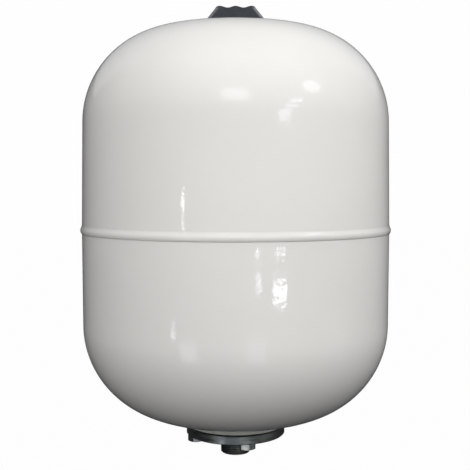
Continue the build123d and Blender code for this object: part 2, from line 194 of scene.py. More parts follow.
cover_base_half = 26.8 * MM
cover_rim_half = 16.3 * MM
cover_rise = 12.6 * MM
cover_skirt = 2.4 * MM
cover_wall = 1.8 * MM
cover_rim_wall = 1.7 * MM
cover_corner = 5 * MM
cover_rim_corner = 3.2 * MM
cover_least_corner = 0.4 * MM
cover_dip_depth = 1.7 * MM
cover_dip_offset = 6.8 * MM
cover_top_drop = 2.4 * MM
cover_plate = 1.6 * MM
cover_gap = 0.15 * MM
cover_sleeve_inner = 9.06 * MM
cover_sleeve_wall = 1.4 * MM
cover_sleeve_clearance = 0.6 * MM
cover_sleeve_chamfer = 0.3 * MM
cover_sleeve_root = 0.6 * MM
cover_gusset_depth = 5 * MM
cover_rib = 1.2 * MM
cover_rib_chamfer = 0.3 * MM
cover_rib_overlap = 0.3 * MM
cover_roof_edge = 0.5 * MM
cover_roof_corner = 2.2 * MM
cover_edge = 0.45 * MM


def crown_depth(taper):
    """How far a crown's centre lies beyond the height where its knuckle starts."""
    offset = vessel_radius - taper - knuckle_radius
    return math.sqrt((crown_radius - knuckle_radius) ** 2 - offset**2)


# Heights that follow
upper_crown_centre = mid_height + shoulder_rise - crown_depth(upper_taper)
lower_crown_centre = mid_height - shoulder_rise + crown_depth(lower_taper)
pole = upper_crown_centre + crown_radius
recess_floor = pole - recess_depth
boss_top = recess_floor + boss_rise
boss_bottom = recess_floor - boss_depth
hex_top = boss_top + stem_hex_height
stem_top = hex_top + stem_length_above_hex
rim_top = pole + cover_rise
plate_top = rim_top - cover_top_drop
plate_bottom = plate_top - cover_plate
cover_bottom = pole - cover_skirt


# ---------------------------- mesh helpers


def loft(rings, closed=False):
    """Verts and faces through rings of points; a ring of one point closes like a pole."""
    verts, faces, starts = [], [], []
    for ring in rings:
        starts.append(len(verts))
        verts.extend(ring)
    steps = len(rings) if closed else len(rings) - 1
    for k in range(steps):
        here, there = k, (k + 1) % len(rings)
        count = max(len(rings[here]), len(rings[there]))
        if count == 1:
            continue
        for j in range(count):
            corners = []
            for ring, place in ((here, j), (here, j + 1), (there, j + 1), (there, j)):
                vert = starts[ring] + place % len(rings[ring])
                if vert not in corners:
                    corners.append(vert)
            faces.append(corners)
    return verts, faces


def lathe(outline, around, radius_at=None, closed=True):
    """Verts and faces of a (radius, height) outline turned about Z.

    radius_at(radius, angle, height) may return a changed radius.
    """
    rings = []
    for radius, height in outline:
        if radius == 0:
            rings.append([(0, 0, height)])
            continue
        ring = []
        for step in range(around):
            angle = 2 * math.pi * step / around
            r = radius_at(radius, angle, height) if radius_at else radius
            ring.append((r * math.cos(angle), r * math.sin(angle), height))
        rings.append(ring)
    return loft(rings, closed)


def join(*parts):
    """Several (verts, faces) pairs as one."""
    verts, faces = [], []
    for part_verts, part_faces in parts:
        start = len(verts)
        verts.extend(part_verts)
        faces.extend([start + v for v in face] for face in part_faces)
    return verts, faces


def new_piece(name, shape, node, smooth_angle=32):
    """A mesh piece that stands for a CAD node, rides on the node's body and has its slot's finish."""
    mesh = bpy.data.meshes.new(name)
    mesh.from_pydata([tuple(v) for v in shape[0]], [], [tuple(f) for f in shape[1]])
    shell = bmesh.new()
    shell.from_mesh(mesh)
    bmesh.ops.recalc_face_normals(shell, faces=shell.faces)
    shell.to_mesh(mesh)
    shell.free()
    mesh.shade_smooth()
    mesh.set_sharp_from_angle(angle=math.radians(smooth_angle))
    piece = bpy.data.objects.new(name, mesh)
    bpy.context.scene.collection.objects.link(piece)
    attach(piece, node_body[node])
    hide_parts(node)
    mesh.materials.append(finishes[node_slot[node]])
    return piece


def arc(centre, radius, start, end, steps):
    """Points of an arc in the (radius, height) plane; angles in radians from the +radius direction."""
    points = []
    for k in range(steps + 1):
        angle = start + (end - start) * k / steps
        points.append((centre[0] + radius * math.cos(angle), centre[1] + radius * math.sin(angle)))
    return points


def line(a, b, steps):
    """Points from a up to, but without, b."""
    return [(a[0] + (b[0] - a[0]) * k / steps, a[1] + (b[1] - a[1]) * k / steps) for k in range(steps)]


def rounded(corners, radii, steps=5):
    """A polyline with each inner corner rounded to its radius; the ends stay."""
    points = [corners[0]]
    for k in range(1, len(corners) - 1):
        here = Vector(corners[k])
        back = (Vector(corners[k - 1]) - here).normalized()
        ahead = (Vector(corners[k + 1]) - here).normalized()
        half = back.angle(ahead) / 2
        radius = radii[k - 1]
        if radius == 0:
            points.append(corners[k])
            continue
        middle = here + (back + ahead).normalized() * radius / math.sin(half)
        reach = radius / math.tan(half)
        first = (here + back * reach - middle).normalized()
        last = (here + ahead * reach - middle).normalized()
        for j in range(steps + 1):
            share = j / steps
            spoke = (first * (1 - share) + last * share).normalized()
            points.append(tuple(middle + spoke * radius))
    points.append(corners[-1])
    return points


def inward(points, distance):
    """The points moved to their left-hand side."""
    moved = []
    for k, point in enumerate(points):
        before = Vector(points[max(k - 1, 0)])
        after = Vector(points[min(k + 1, len(points) - 1)])
        along = (after - before).normalized()
        moved.append((point[0] - along.y * distance, point[1] + along.x * distance))
    return moved


def fade(value, low, high):
    """0 below low, 1 above high, smooth between."""
    share = min(max((value - low) / (high - low), 0), 1)
    return share * share * (3 - 2 * share)


def wander(angle, orders):
    """A slow repeatable wobble around a circle, between -1 and 1."""
    return sum(math.cos(order * angle + 1.7 * order) for order in orders) / len(orders)


def thread_cut(angle, height, pitch, depth):
    """How far a right-hand thread is cut at a place: 0 on the rounded crest, the depth in the root."""
    phase = (height / pitch - angle / (2 * math.pi)) % 1
    flank = abs(2 * phase - 1)
    return depth * fade(1 - flank, 0.06, 0.94)


def hexagon(angle, across_flats, turn, corner_loss):
    """Radius of a hexagon with its corners slightly rounded off; a corner points along turn."""
    folded = (angle - turn) % (math.pi / 3) - math.pi / 6
    return min(across_flats / 2 / math.cos(folded), across_flats / math.sqrt(3) - corner_loss)


def dome_point(radius, centre, side):
    """A point of a crown's outside; side is 1 for the upper crown, -1 for the lower."""
    return (radius, centre + side * math.sqrt(crown_radius**2 - radius**2))


# ---------------------------- node materials


class Finish:
    """A procedural material, with short calls for the nodes that build it."""

    def __init__(self, name, **constants):
        self.material = bpy.data.materials.new(name)
        self.material.use_nodes = True
        self.tree = self.material.node_tree
        self.tree.nodes.clear()
        self.shader = self.node("BsdfPrincipled")
        output = self.node("OutputMaterial")
        self.tree.links.new(self.shader.outputs["BSDF"], output.inputs["Surface"])
        for socket, value in constants.items():
            self.shader.inputs[socket.replace("_", " ")].default_value = value
        self.place = self.node("TexCoord").outputs["Object"]

    def node(self, kind):
        """A new shader node, by the kind's name after ShaderNode."""
        return self.tree.nodes.new(f"ShaderNode{kind}")

    def put(self, socket, value):
        """Links a value to a socket of the shader."""
        self.tree.links.new(value, self.shader.inputs[socket])

    def feed(self, node, values):
        """Gives a node its inputs in order, each a number or an output."""
        for k, value in enumerate(values):
            if isinstance(value, (int, float)):
                node.inputs[k].default_value = value
            else:
                self.tree.links.new(value, node.inputs[k])
        return node

    def math(self, operation, *values):
        node = self.node("Math")
        node.operation = operation
        return self.feed(node, values).outputs[0]

    def axes(self):
        """Outputs x, y and z of the place."""
        node = self.node("SeparateXYZ")
        self.tree.links.new(self.place, node.inputs[0])
        return node.outputs

    def vector(self, x, y, z):
        return self.feed(self.node("CombineXYZ"), (x, y, z)).outputs[0]

    def radius(self):
        x, y, _ = self.axes()
        return self.math("SQRT", self.math("ADD", self.math("MULTIPLY", x, x), self.math("MULTIPLY", y, y)))

    def turned(self, around, out, up):
        """A place in turned coordinates, scaled: direction around the axis, radius and height."""
        x, y, z = self.axes()
        radius = self.math("MAXIMUM", self.radius(), 0.1 * MM)
        side = self.math("MULTIPLY", self.math("DIVIDE", x, radius), around)
        front = self.math("MULTIPLY", self.math("DIVIDE", y, radius), around)
        streak = self.math("ADD", self.math("MULTIPLY", self.radius(), out), self.math("MULTIPLY", z, up))
        return self.vector(side, front, streak)

    def noise(self, scale, detail=3, roughness=0.5, place=None):
        node = self.node("TexNoise")
        node.inputs["Scale"].default_value = scale
        node.inputs["Detail"].default_value = detail
        node.inputs["Roughness"].default_value = roughness
        self.tree.links.new(place or self.place, node.inputs["Vector"])
        return node.outputs["Fac"]

    def spots(self, scale):
        node = self.node("TexVoronoi")
        node.inputs["Scale"].default_value = scale
        self.tree.links.new(self.place, node.inputs["Vector"])
        return node.outputs["Distance"]

    def span(self, value, low, high, to_low, to_high):
        """The value stretched from one range to another, clamped."""
        node = self.node("MapRange")
        return self.feed(node, (value, low, high, to_low, to_high)).outputs[0]

    def blend(self, share, first, second):
        """A colour between two, by the share; each is a colour tuple or an output."""
        node = self.node("Mix")
        node.data_type = "RGBA"
        self.tree.links.new(share, node.inputs[0])
        for socket, colour in ((6, first), (7, second)):
            if isinstance(colour, tuple):
                node.inputs[socket].default_value = (*colour, 1)
            else:
                self.tree.links.new(colour, node.inputs[socket])
        return node.outputs[2]

    def relief(self, *layers):
        """Surface relief from (height 0 to 1, depth in metres) layers, one over the other."""
        normal = None
        for height, depth in layers:
            node = self.node("Bump")
            node.inputs["Strength"].default_value = 1
            node.inputs["Distance"].default_value = depth
            self.tree.links.new(height, node.inputs["Height"])
            if normal:
                self.tree.links.new(normal, node.inputs["Normal"])
            normal = node.outputs[0]
        self.put("Normal", normal)
        return normal


def paint(name, colour, shade, gloss, peel, coat=1.0):
    """Powder coat: orange peel, faint clouding of its colour and gloss."""
    finish = Finish(
        name,
        Coat_Weight=coat,
        Coat_Roughness=0.015,
        Coat_IOR=1.5,
        IOR=1.5,
        Specular_IOR_Level=0.2,
    )
    cloud = finish.noise(9, 4, 0.55)
    speck = finish.noise(2600, 2, 0.6)
    base = finish.blend(finish.span(cloud, 0.35, 0.65, 0, 1), shade, colour)
    darker = tuple(0.93 * c for c in colour)
    finish.put("Base Color", finish.blend(finish.span(speck, 0.62, 0.78, 0, 0.35), base, darker))
    finish.put("Roughness", finish.span(finish.noise(40, 3), 0.3, 0.7, gloss - 0.05, gloss + 0.06))
    normal = finish.relief(
        (finish.noise(430, 2, 0.5), peel * 1.25),
        (finish.noise(230, 1, 0.5), peel),
        (finish.noise(24, 1, 0.5), peel * 1.2),
    )
    finish.put("Coat Normal", normal)
    return finish.material


def plated(name, colour, tint, dark, roughness, streak=2600, streak_depth=0.004 * MM, pits=0.01 * MM):
    """Zinc plate over turned steel: turning marks, passivation tints and dull patches."""
    finish = Finish(name, Metallic=1.0, Anisotropic=0.35)
    fine = finish.noise(1, 3, 0.6, finish.turned(3, streak, streak))
    coarse = finish.noise(1, 2, 0.5, finish.turned(2.2, streak / 4, streak / 4))
    marks = finish.math("ADD", finish.math("MULTIPLY", fine, 0.45), finish.math("MULTIPLY", coarse, 0.55))
    patches = finish.noise(95, 5, 0.62)
    hue = finish.noise(38, 3, 0.5)
    base = finish.blend(finish.span(patches, 0.34, 0.68, 0, 1), dark, colour)
    base = finish.blend(finish.span(hue, 0.45, 0.72, 0, 0.75), base, tint)
    line_dark = tuple(0.45 * c for c in dark)
    finish.put("Base Color", finish.blend(finish.span(marks, 0.5, 0.66, 0, 0.85), base, line_dark))
    blotch = finish.math("ADD", finish.math("MULTIPLY", patches, 0.7), finish.math("MULTIPLY", marks, 0.3))
    finish.put("Roughness", finish.span(blotch, 0.32, 0.68, roughness + 0.14, roughness - 0.08))
    finish.relief((marks, streak_depth), (finish.noise(900, 3, 0.6), pits))
    return finish.material


def turned_brass(name, colour, dark):
    """Turned brass with tool marks and light tarnish."""
    finish = Finish(name, Metallic=1.0, Anisotropic=0.3)
    marks = finish.noise(1, 2, 0.5, finish.turned(2, 5200, 5200))
    tarnish = finish.noise(420, 4, 0.6)
    base = finish.blend(finish.span(tarnish, 0.4, 0.7, 0, 1), colour, dark)
    finish.put("Base Color", finish.blend(finish.span(marks, 0.55, 0.8, 0, 0.3), base, dark))
    finish.put("Roughness", finish.span(tarnish, 0.3, 0.7, 0.2, 0.42))
    finish.relief((marks, 0.003 * MM))
    return finish.material


def moulded(name, colour, pale, roughness, grain, grain_depth, painted_highlight=None):
    """Moulded plastic: fine grain, faint flow clouding and scuffed high spots.

    painted_highlight is a pair: the pale colour of a painted highlight, and a function that says where it
    lies, 0 to 1.
    """
    finish = Finish(name, IOR=1.49, Specular_IOR_Level=0.45)
    cloud = finish.noise(130, 4, 0.6)
    scuff = finish.noise(1, 4, 0.65, finish.turned(5, 420, 1300))
    base = finish.blend(finish.span(cloud, 0.35, 0.7, 0, 0.6), colour, pale)
    base = finish.blend(finish.span(scuff, 0.6, 0.78, 0, 0.4), base, pale)
    # Painted highlight: a pale colour laid into the base colour where light would catch
    if painted_highlight:
        highlight_colour, where = painted_highlight
        base = finish.blend(where(finish), base, highlight_colour)
    finish.put("Base Color", base)
    finish.put("Roughness", finish.span(cloud, 0.3, 0.7, roughness + 0.07, roughness - 0.07))
    finish.relief((finish.spots(grain), grain_depth), (finish.noise(grain * 0.45, 3), grain_depth))
    return finish.material


def rubber(name, colour, dusty):
    """Moulded rubber: matt, with a dusty bloom and fine pitting."""
    finish = Finish(name, IOR=1.52, Specular_IOR_Level=0.3, Sheen_Weight=0.08)
    bloom = finish.noise(60, 5, 0.65)
    finish.put("Base Color", finish.blend(finish.span(bloom, 0.42, 0.75, 0, 0.7), colour, dusty))
    finish.put("Roughness", finish.span(bloom, 0.3, 0.7, 0.62, 0.8))
    finish.relief((finish.noise(1900, 3, 0.6), 0.02 * MM), (finish.noise(120, 2), 0.08 * MM))
    return finish.material


def drawn_wire(name, colour, dark):
    """Drawn steel wire: fine scratches along its length."""
    finish = Finish(name, Metallic=1.0, Anisotropic=0.4)
    marks = finish.noise(3800, 3, 0.6)
    finish.put("Base Color", finish.blend(finish.span(marks, 0.4, 0.7, 0, 1), colour, dark))
    finish.put("Roughness", finish.span(marks, 0.3, 0.7, 0.24, 0.4))
    finish.relief((marks, 0.003 * MM))
    return finish.material


def cover_corner_highlights(finish):
    """Where painted highlights lie along the valve cover's four slanted corners: a faint band and two
    brighter lines.
    """
    x, y, z = finish.axes()
    difference = finish.math("SUBTRACT", finish.math("ABSOLUTE", x), finish.math("ABSOLUTE", y))
    off = finish.math("ABSOLUTE", difference)
    band = finish.span(off, 2.8 * MM, 4.0 * MM, 0.4, 0)
    off_line = finish.math("ABSOLUTE", finish.math("SUBTRACT", off, 1.5 * MM))
    lines = finish.span(off_line, 0.3 * MM, 0.9 * MM, 1, 0)
    corner = finish.math("MAXIMUM", band, lines)
    outside = finish.span(finish.radius(), 20 * MM, 21 * MM, 0, 1)
    below_rim = finish.span(z, rim_top - 2.2 * MM, rim_top - 1.2 * MM, 1, 0)
    patchy = finish.span(finish.noise(260, 4, 0.6), 0.3, 0.62, 0.5, 1)
    corner_outside = finish.math("MULTIPLY", corner, outside)
    return finish.math("MULTIPLY", corner_outside, finish.math("MULTIPLY", below_rim, patchy))


shell_white = (0.805, 0.795, 0.768)
# Each material slot's recipe: the function that makes it, and what it is given after the slot's name
recipes = {
    "shell_paint": (paint, shell_white, (0.785, 0.775, 0.75), 0.34, 0.02 * MM),
    "weld_paint": (paint, shell_white, (0.77, 0.76, 0.735), 0.3, 0.02 * MM),
    # Painted shade: the neck ring wears the shell's white paint, darkened here for the shadow under the lower
    # crown
    "neck_paint": (paint, (0.53, 0.54, 0.49), (0.43, 0.44, 0.40), 0.42, 0.05 * MM, 0.15),
    "zinc_plate": (plated, (0.56, 0.61, 0.62), (0.60, 0.55, 0.44), (0.34, 0.38, 0.40), 0.34, 1500, 0.01 * MM),
    "zinc_thread": (plated, (0.48, 0.53, 0.56), (0.52, 0.49, 0.41), (0.28, 0.32, 0.35), 0.34),
    "zinc_weld": (plated, (0.43, 0.43, 0.43), (0.42, 0.38, 0.31), (0.22, 0.22, 0.23), 0.44, 900),
    "bolt_zinc": (
        plated,
        (0.70, 0.73, 0.73),
        (0.68, 0.66, 0.56),
        (0.50, 0.53, 0.54),
        0.27,
        3400,
        0.004 * MM,
        0.004 * MM,
    ),
    "boss_steel": (plated, (0.60, 0.60, 0.60), (0.58, 0.56, 0.50), (0.40, 0.40, 0.41), 0.28, 4200),
    "bladder_rubber": (rubber, (0.026, 0.026, 0.028), (0.062, 0.062, 0.062)),
    "seal_rubber": (rubber, (0.02, 0.02, 0.02), (0.045, 0.045, 0.045)),
    "liner_plastic": (moulded, (0.60, 0.60, 0.57), (0.68, 0.68, 0.66), 0.42, 900, 0.02 * MM),
    "gasket_plastic": (moulded, (0.50, 0.05, 0.03), (0.60, 0.12, 0.08), 0.4, 3000, 0.004 * MM),
    "cover_plastic": (
        moulded,
        (0.033, 0.039, 0.047),
        (0.052, 0.060, 0.071),
        0.52,
        1500,
        0.03 * MM,
        # Painted highlights along the cover's slanted corners, in this pale colour
        ((0.27, 0.28, 0.29), cover_corner_highlights),
    ),
    "cap_plastic": (moulded, (0.018, 0.018, 0.02), (0.04, 0.04, 0.044), 0.46, 2400, 0.012 * MM),
    "stem_brass": (turned_brass, (0.78, 0.60, 0.30), (0.50, 0.36, 0.16)),
    "core_brass": (turned_brass, (0.80, 0.64, 0.36), (0.55, 0.42, 0.20)),
    "pin_steel": (drawn_wire, (0.62, 0.62, 0.62), (0.40, 0.40, 0.40)),
    "spring_steel": (drawn_wire, (0.52, 0.52, 0.53), (0.30, 0.30, 0.31)),
}
finishes = {slot: make(slot, *values) for slot, (make, *values) in recipes.items()}


# ---------------------------- pressed shells and their welds


def half_shell(taper, centre, side, rim):
    """The outside of a half shell: straight side, knuckle and crown, up to the rim's radius."""
    offset = vessel_radius - taper - knuckle_radius
    middle = (offset, mid_height + side * shoulder_rise)
    lean = math.atan2(taper, shoulder_rise)
    meet = math.asin(offset / (crown_radius - knuckle_radius))
    tangent = side * (math.pi / 2 - meet)
    knuckle = arc(middle, knuckle_radius, side * lean, tangent, 44)
    crown = arc((0, centre), crown_radius, tangent, side * math.acos(rim / crown_radius), 26)
    return knuckle + crown[1:]


def make_upper_shell():
    skin = half_shell(upper_taper, upper_crown_centre, 1, recess_mouth_radius)
    edge = (vessel_radius, upper_edge_height)
    recess = rounded(
        [
            skin[-1],
            dome_point(recess_mouth_radius - recess_lip, upper_crown_centre, 1),
            (recess_floor_radius, recess_floor),
            (boss_radius, recess_floor),
        ],
        [recess_lip_bend, recess_bend],
        8,
    )
    outside = line(edge, skin[0], 24) + skin + recess[1:]
    shape = lathe(outside + inward(outside, wall)[::-1], AROUND)
    new_piece("upper_shell_skin", shape, "upper_shell")


def make_lower_shell():
    skin = half_shell(lower_taper, lower_crown_centre, -1, neck_spigot_radius)
    joggle = rounded(
        [
            (lap_radius, joggle_shoulder + lap_length),
            (lap_radius, joggle_shoulder + joggle_rise),
            (vessel_radius, joggle_shoulder),
            skin[0],
        ],
        [joggle_bend, joggle_bend],
        6,
    )
    outside = joggle[:-1] + line(joggle[-2], skin[0], 20)[1:] + skin
    inside = inward(outside, -wall)
    inside[-1] = (neck_spigot_radius, inside[-1][1])
    new_piece("lower_shell_skin", lathe(outside + inside[::-1], AROUND), "lower_shell")


def make_seam_weld():
    """The bead over the lap: a steep toe below, a long soft run-out above, and faint weld ripples."""
    toe = (vessel_radius, bead_bottom)
    crest = (vessel_radius + bead_proud, bead_crest_height)
    toe_steps = 9
    runout_steps = 12
    face = []
    for k in range(toe_steps):
        share = k / toe_steps
        radius = toe[0] + bead_proud * math.sin(share * math.pi / 2)
        face.append((radius, toe[1] + (crest[1] - toe[1]) * share**1.5))
    for k in range(runout_steps + 1):
        share = k / runout_steps
        radius = crest[0] - bead_proud * fade(share, 0, bead_runout_end) * 0.99
        face.append((radius, crest[1] + (bead_top - crest[1]) * share))
    back = [
        (vessel_radius, upper_edge_height),
        (lap_radius, upper_edge_height),
        (vessel_radius, joggle_shoulder),
    ]

    def ripple(radius, angle, height):
        proud = max(radius - vessel_radius, 0) / bead_proud
        waves = bead_ripple * math.cos(bead_ripples_around * angle + 0.8 * math.cos(3 * angle))
        slow = bead_wobble * wander(angle, (5, 13, 29, 47)) - bead_sink
        return radius + proud * (waves + slow)

    new_piece("seam_weld_bead", lathe(face + back, WELD_AROUND, ripple), "seam_weld", 50)


def make_fillet_weld(node, corner, reach_out, reach_along, count):
    """A fillet weld in a corner: a hollow face with ripples; the two reaches are its legs' ends."""
    steps = 8
    hollow = 0.12
    ripple_share = 0.05
    face = []
    for k in range(steps + 1):
        share = k / steps
        sink = hollow * math.sin(share * math.pi)
        radius = reach_out[0] + (reach_along[0] - reach_out[0]) * share
        height = reach_out[1] + (reach_along[1] - reach_out[1]) * share
        face.append((radius + (corner[0] - radius) * sink, height + (corner[1] - height) * sink))
    low = min(point[0] for point in face)
    high = max(point[0] for point in face)

    def ripple(radius, angle, height):
        share = (radius - low) / (high - low)
        if share <= 0.02 or share >= 0.98:
            return radius
        wave = 1 + math.cos(count * angle + 5 * share)
        return radius - ripple_share * (high - low) * wave * math.sin(share * math.pi)

    new_piece(f"{node}_bead", lathe([*face, corner], 4 * FITTING_AROUND, ripple), node, 50)


make_upper_shell()
make_lower_shell()
make_seam_weld()

weld_top = dome_point(neck_radius + neck_weld_leg, lower_crown_centre, -1)
weld_corner = dome_point(neck_radius, lower_crown_centre, -1)
make_fillet_weld(
    "neck_ring_weld",
    weld_corner,
    weld_top,
    (neck_radius, weld_corner[1] - neck_weld_leg),
    130,
)
make_fillet_weld(
    "connection_weld",
    (connection_neck_radius, flange_bottom),
    (connection_neck_radius + connection_weld_leg, flange_bottom),
    (connection_neck_radius, flange_bottom - connection_weld_leg),
    46,
)
make_fillet_weld(
    "valve_boss_weld",
    (boss_radius, recess_floor),
    (boss_radius + boss_weld_leg, recess_floor),
    (boss_radius, recess_floor + boss_weld_leg),
    40,
)


# ---------------------------- threaded and hexagon pieces


def make_connection():
    """The G 3/4 stub: a real helical thread that runs out onto the plain neck."""
    steps = 15
    count = round(connection_thread_top / connection_pitch * steps)
    flank = [(connection_radius, connection_thread_top * k / count) for k in range(count + 1)]
    liner_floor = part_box("water_connection")[1].z
    neck = [(connection_neck_radius, connection_neck_start), (connection_neck_radius, liner_floor)]
    bore = [
        (connection_bore, liner_floor),
        (connection_bore, thread_chamfer / 2),
        (connection_bore + thread_chamfer / 2, 0),
    ]

    def cut(radius, angle, height):
        if radius != connection_radius:
            return radius
        threaded = radius - thread_cut(angle, height, connection_pitch, connection_thread_depth)
        runout = fade(height, connection_thread_top - connection_pitch, connection_thread_top)
        threaded += (connection_neck_radius - threaded) * runout
        return min(threaded, connection_radius - thread_chamfer + height)

    outline = flank + neck + bore
    new_piece("water_connection_stub", lathe(outline, FITTING_AROUND, cut), "water_connection", 40)


def bolt_shape(angle):
    """One M8 bolt at its place on the bolt circle: dished head with a turned chamfer, and a real thread."""
    face = flange_bottom - head_height
    flat = head_across_flats / 2
    corner = head_across_flats / math.sqrt(3)
    thread_start = flange_bottom + bolt_thread_start
    tip = flange_bottom + bolt_length
    head = [(0, face + head_dish_depth), (head_dish_floor, face + head_dish_depth), (head_dish_rim, face)]
    head += [(flat - head_chamfer, face)]
    head += [(corner, face + head_chamfer * k / 6) for k in range(1, 7)]
    head += [(corner, flange_bottom - head_foot), (corner, flange_bottom)]
    steps = round((tip - thread_start) / bolt_pitch * 10)
    shank = [(bolt_radius, thread_start + (tip - thread_start) * k / steps) for k in range(steps + 1)]

    def cut(radius, turn, height):
        if radius > flat:
            cone = flat - head_chamfer + (height - face) * (corner - flat + head_chamfer) / head_chamfer
            return min(hexagon(turn, head_across_flats, angle + head_turn, head_corner_loss), cone)
        if radius == bolt_radius and height >= thread_start:
            depth = bolt_thread_depth * fade(height, thread_start, thread_start + bolt_thread_fade)
            threaded = radius - thread_cut(turn, height, bolt_pitch, depth)
            return min(threaded, bolt_radius - bolt_tip_chamfer + tip - height)
        return radius

    outline = head + [(bolt_radius, flange_bottom)] + shank + [(0, tip)]
    verts, faces = lathe(outline, BOLT_AROUND, cut, closed=False)
    x, y = bolt_circle_radius * math.cos(angle), bolt_circle_radius * math.sin(angle)
    return [(v[0] + x, v[1] + y, v[2]) for v in verts], faces


def make_bolts():
    angles = [first_bolt_angle + 2 * math.pi * k / bolt_count for k in range(bolt_count)]
    new_piece("flange_bolt_set", join(*(bolt_shape(angle) for angle in angles)), "flange_bolts", 28)


def make_valve_stem():
    """The brass stem: shank, hexagon, neck and the 8V1 thread that the dust cap screws on to."""
    gasket_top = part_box("valve_core_gasket")[1].z
    core_low, core_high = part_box("valve_core_body")
    corner = stem_hex_across_flats / math.sqrt(3)
    hex_side_top = hex_top - stem_hex_chamfer
    outline = [
        (stem_shank_radius - stem_foot_chamfer, boss_bottom),
        (stem_shank_radius, boss_bottom + stem_foot_chamfer),
        (stem_shank_radius, boss_top),
        (corner, boss_top),
    ]
    chamfer = [stem_hex_chamfer * k / 4 for k in range(5)]
    outline += [(corner - step, hex_side_top + step) for step in chamfer]
    outline += [(stem_neck_radius, hex_top), (stem_neck_radius, hex_top + stem_neck_height)]
    base = hex_top + stem_neck_height + stem_thread_chamfer
    steps = round((stem_top - base) / valve_pitch * 12)
    outline += [(stem_thread_radius, base + (stem_top - base) * k / steps) for k in range(steps + 1)]
    outline += [
        (stem_bore, stem_top),
        (stem_bore, core_high.z - stem_bore_below_core_top),
        (stem_seat_radius, gasket_top),
        (stem_passage, core_low.z + stem_passage_above_core_foot),
        (stem_passage, boss_bottom),
    ]

    def cut(radius, angle, height):
        if radius > stem_shank_radius:
            return hexagon(angle, stem_hex_across_flats, 0, stem_hex_corner_loss) - (corner - radius)
        if radius == stem_thread_radius:
            threaded = radius - thread_cut(angle, height, valve_pitch, valve_thread_depth)
            lead_in = stem_neck_radius + (height - base + stem_thread_chamfer)
            return min(threaded, lead_in, stem_thread_radius - stem_thread_chamfer + stem_top - height)
        return radius

    new_piece("valve_stem_turned", lathe(outline, FITTING_AROUND, cut), "valve_stem", 34)


def make_spring():
    """The pin's coil spring, with a closed coil at each end."""
    low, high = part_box("valve_core_spring")
    radius = high.x - spring_wire_radius
    rise = high.z - low.z - 2 * spring_wire_radius
    steps = 36
    wire_around = 12
    rings = []
    for step in range(spring_turns * steps + 1):
        turn = step / steps
        open_turns = spring_turns - 2 * spring_closed_turns
        share = min(max((turn - spring_closed_turns) / open_turns, 0), 1)
        angle = 2 * math.pi * turn
        ring = []
        for k in range(wire_around):
            around = 2 * math.pi * k / wire_around
            reach = radius + spring_wire_radius * math.cos(around)
            height = low.z + spring_wire_radius * (1 + math.sin(around)) + rise * share
            ring.append((reach * math.cos(angle), reach * math.sin(angle), height))
        rings.append(ring)
    verts, faces = loft(rings)
    faces += [list(range(wire_around)), list(range(len(verts) - wire_around, len(verts)))]
    spring = new_piece("valve_core_spring_coil", (verts, faces), "valve_core_spring", 40)
    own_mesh(spring)


def make_dust_cap():
    """The fluted cap, with the thread inside it."""
    low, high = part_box("dust_cap")
    ceiling = high.z - dust_cap_roof
    edge = (dust_cap_radius - dust_cap_edge, high.z - dust_cap_edge)
    outline = [(0, high.z), (edge[0], high.z)]
    outline += arc(edge, dust_cap_edge, math.pi / 2, 0, 6)
    outline += [(dust_cap_radius, edge[1] - k * 0.3 * MM) for k in range(1, 9)]
    outline += [(dust_cap_radius, low.z + dust_cap_foot_chamfer)]
    outline += [(dust_cap_radius - dust_cap_foot_chamfer, low.z)]
    steps = round((ceiling - low.z) / valve_pitch * 12)
    outline += [(dust_cap_bore, low.z + (ceiling - low.z) * k / steps) for k in range(steps + 1)]
    outline += [(0, ceiling)]
    flute_top = low.z + dust_cap_flute_height

    def cut(radius, angle, height):
        if radius == dust_cap_bore:
            return radius + thread_cut(angle, height, valve_pitch, dust_cap_thread_depth)
        if radius < edge[0]:
            return radius
        flute = max(math.cos(dust_cap_flutes * angle), 0) ** 1.5
        ends = 1 - fade(height, flute_top - dust_cap_flute_fade, flute_top)
        return radius - dust_cap_flute_depth * flute * ends

    new_piece("dust_cap_fluted", lathe(outline, 16 * dust_cap_flutes, cut, closed=False), "dust_cap", 40)


make_connection()
make_bolts()
make_valve_stem()
make_spring()
make_dust_cap()


# ---------------------------- bladder


def make_bladder():
    """The rubber bag at its part-filled shape, with soft folds and a moulding line on each side."""
    lip_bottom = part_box("bladder")[0].z
    nearly_axis = 1 * MM
    longest_step = 20 * MM
    outside = rounded(
        [
            (bladder_neck_radius, bladder_lip_top),
            (bladder_neck_radius, bladder_neck_top),
            (bladder_radius, bladder_side_bottom),
            (bladder_radius, bladder_side_top),
            (bladder_crown_radius, bladder_top),
            (nearly_axis, bladder_top),
        ],
        bladder_bends,
        22,
    )
    straight = [k for k in range(len(outside) - 1) if outside[k + 1][1] - outside[k][1] > longest_step]
    for k in reversed(straight):
        outside[k : k + 1] = line(outside[k], outside[k + 1], 14)
    inside = inward(outside, bladder_wall)
    inside[-1] = (nearly_axis, bladder_top - bladder_wall)
    inside[0] = (bladder_lip_inner, bladder_lip_top)
    lip = [
        (bladder_lip_inner, lip_bottom),
        (bladder_lip_outer, lip_bottom),
        (bladder_lip_outer, bladder_lip_top),
    ]

    def fold(radius, angle, height):
        body = fade(height, *bladder_folds_start) * (1 - fade(height, *bladder_folds_end))
        lobes = 0.5 + 0.5 * math.cos(5 * angle + 1.1 * math.sin(2 * angle) + 9 * height)
        seam = max(0, 1 - abs(math.sin(angle)) * radius / bladder_seam_half)
        return radius - body * (bladder_fold_depth * lobes**2 - bladder_seam_proud * seam)

    outline = lip + outside + [(0, bladder_top), (0, bladder_top - bladder_wall)] + inside[::-1]
    new_piece("bladder_bag", lathe(outline, AROUND, fold), "bladder", 45)


make_bladder()


# ---------------------------- valve cover


